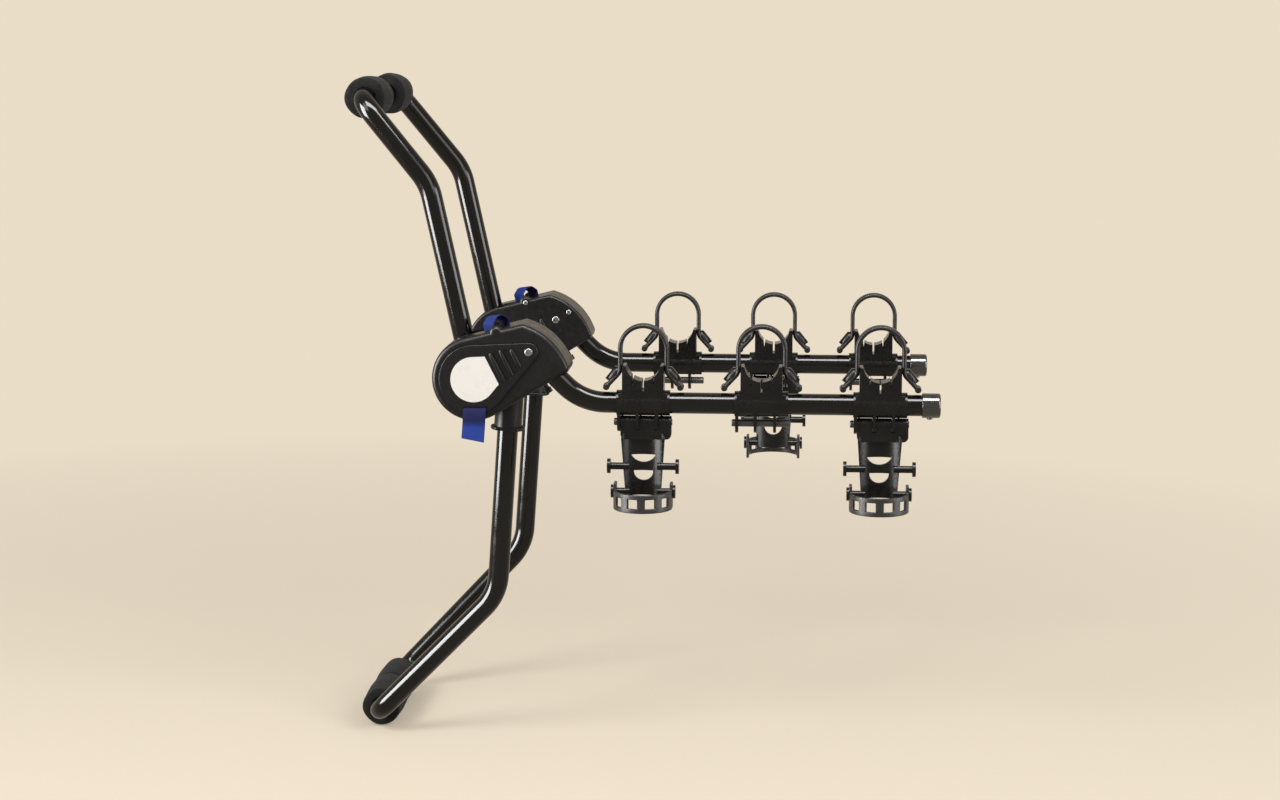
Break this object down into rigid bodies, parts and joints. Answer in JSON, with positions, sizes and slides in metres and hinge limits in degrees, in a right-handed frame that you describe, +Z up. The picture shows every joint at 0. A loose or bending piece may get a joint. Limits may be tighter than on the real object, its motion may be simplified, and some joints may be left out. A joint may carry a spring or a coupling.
{
  "type": "trunk mounted bike rack",
  "caption": "Foldable bicycle rack that rests on a car's boot: two padded U frames, two hubs, folding arms with strapped cradles and hanging anti-sway cradles.",
  "frame": {"origin": "middle of the upper padded bar, on its axis, where the rack rests on the boot lid", "axes": "+X points away from the car along the arms, +Y to the right side, +Z up"},
  "size_m": [0.8132, 0.487, 0.9245],
  "materials": {
    "black_tube": "gloss",
    "hub_plastic": "satin",
    "cradle_plastic": "satin",
    "button_plastic": "gloss",
    "cap_plastic": "gloss",
    "steel_plate": "satin",
    "badge_plastic": "gloss",
    "hardware": "satin",
    "foam": "matt foam",
    "strap_rubber": "matt",
    "belt_rubber": "matt",
    "webbing": "woven"
  },
  "bodies": {
    "rack_frame": {"lower_frame_tube": "black_tube", "upper_pivot_bolts": "hardware", "arm_pivot_bolts": "hardware", "lower_frame_pins": "hardware", "cover_screws": "hardware", "left_lower_pad": "foam", "left_hub_outer_cover": "hub_plastic", "left_hub_inner_cover": "hub_plastic", "left_hub_core_plate": "steel_plate", "left_hub_face_panel": "hub_plastic", "left_hub_badge": "badge_plastic", "left_lower_collar": "hub_plastic", "left_webbing_loop": "webbing", "left_webbing_tail": "webbing", "right_lower_pad": "foam", "right_hub_outer_cover": "hub_plastic", "right_hub_inner_cover": "hub_plastic", "right_hub_core_plate": "steel_plate", "right_hub_face_panel": "hub_plastic", "right_hub_badge": "badge_plastic", "right_lower_collar": "hub_plastic", "right_webbing_loop": "webbing", "right_webbing_tail": "webbing"},
    "upper_frame": {"upper_frame_tube": "black_tube", "left_upper_pad": "foam", "right_upper_pad": "foam"},
    "left_arm": {"left_arm_tube": "black_tube", "left_arm_end_cap": "cap_plastic", "left_arm_cap_rivet": "hardware"},
    "left_release_button": {"left_arm_release_button": "button_plastic"},
    "right_arm": {"right_arm_tube": "black_tube", "right_arm_end_cap": "cap_plastic", "right_arm_cap_rivet": "hardware"},
    "right_release_button": {"right_arm_release_button": "button_plastic"},
    "left_first_cradle": {"left_first_cradle_body": "cradle_plastic", "left_first_cradle_pin": "hardware", "left_first_cradle_strap": "strap_rubber"},
    "left_first_antisway": {"left_first_antisway_cradle": "cradle_plastic", "left_first_antisway_belt": "belt_rubber"},
    "left_second_cradle": {"left_second_cradle_body": "cradle_plastic", "left_second_cradle_pin": "hardware", "left_second_cradle_strap": "strap_rubber"},
    "left_third_cradle": {"left_third_cradle_body": "cradle_plastic", "left_third_cradle_pin": "hardware", "left_third_cradle_strap": "strap_rubber"},
    "left_third_antisway": {"left_third_antisway_cradle": "cradle_plastic", "left_third_antisway_belt": "belt_rubber"},
    "right_first_cradle": {"right_first_cradle_body": "cradle_plastic", "right_first_cradle_pin": "hardware", "right_first_cradle_strap": "strap_rubber"},
    "right_second_cradle": {"right_second_cradle_body": "cradle_plastic", "right_second_cradle_pin": "hardware", "right_second_cradle_strap": "strap_rubber"},
    "right_second_antisway": {"right_second_antisway_cradle": "cradle_plastic", "right_second_antisway_belt": "belt_rubber"},
    "right_third_cradle": {"right_third_cradle_body": "cradle_plastic", "right_third_cradle_pin": "hardware", "right_third_cradle_strap": "strap_rubber"}
  },
  "joints": [
    {"name": "upper_frame_fold", "type": "hinge", "parent": "rack_frame", "child": "upper_frame", "pos_m": [0.149, 0, -0.373], "axis": [0, -1, 0], "range_deg": [-15, 135]},
    {"name": "left_arm_fold", "type": "hinge", "parent": "rack_frame", "child": "left_arm", "pos_m": [0.2329, -0.19155, -0.3352], "axis": [0, 1, 0], "range_deg": [0, 90]},
    {"name": "left_release_press", "type": "slide", "parent": "rack_frame", "child": "left_release_button", "axis": [-0.5195, 0, 0.8545], "range_m": [0, 0.006], "stiffness_N_per_m": 400},
    {"name": "right_arm_fold", "type": "hinge", "parent": "rack_frame", "child": "right_arm", "pos_m": [0.2329, 0.19155, -0.3352], "axis": [0, 1, 0], "range_deg": [0, 90]},
    {"name": "right_release_press", "type": "slide", "parent": "rack_frame", "child": "right_release_button", "axis": [-0.5195, 0, 0.8545], "range_m": [0, 0.006], "stiffness_N_per_m": 400},
    {"name": "left_first_cradle_slide", "type": "slide", "parent": "left_arm", "child": "left_first_cradle", "axis": [1, 0, 0], "range_m": [-0.015, 0.015]},
    {"name": "left_first_antisway_swing", "type": "hinge", "parent": "left_first_cradle", "child": "left_first_antisway", "pos_m": [0.386, -0.19155, -0.4312], "axis": [-1, 0, 0], "range_deg": [-60, 60]},
    {"name": "left_second_cradle_slide", "type": "slide", "parent": "left_arm", "child": "left_second_cradle", "axis": [1, 0, 0], "range_m": [-0.015, 0.015]},
    {"name": "left_third_cradle_slide", "type": "slide", "parent": "left_arm", "child": "left_third_cradle", "axis": [1, 0, 0], "range_m": [-0.015, 0.015]},
    {"name": "left_third_antisway_swing", "type": "hinge", "parent": "left_third_cradle", "child": "left_third_antisway", "pos_m": [0.704, -0.19155, -0.4312], "axis": [-1, 0, 0], "range_deg": [-60, 60]},
    {"name": "right_first_cradle_slide", "type": "slide", "parent": "right_arm", "child": "right_first_cradle", "axis": [1, 0, 0], "range_m": [-0.015, 0.015]},
    {"name": "right_second_cradle_slide", "type": "slide", "parent": "right_arm", "child": "right_second_cradle", "axis": [1, 0, 0], "range_m": [-0.015, 0.015]},
    {"name": "right_second_antisway_swing", "type": "hinge", "parent": "right_second_cradle", "child": "right_second_antisway", "pos_m": [0.556, 0.19155, -0.4312], "axis": [1, 0, 0], "range_deg": [-60, 60]},
    {"name": "right_third_cradle_slide", "type": "slide", "parent": "right_arm", "child": "right_third_cradle", "axis": [1, 0, 0], "range_m": [-0.015, 0.015]}
  ]
}
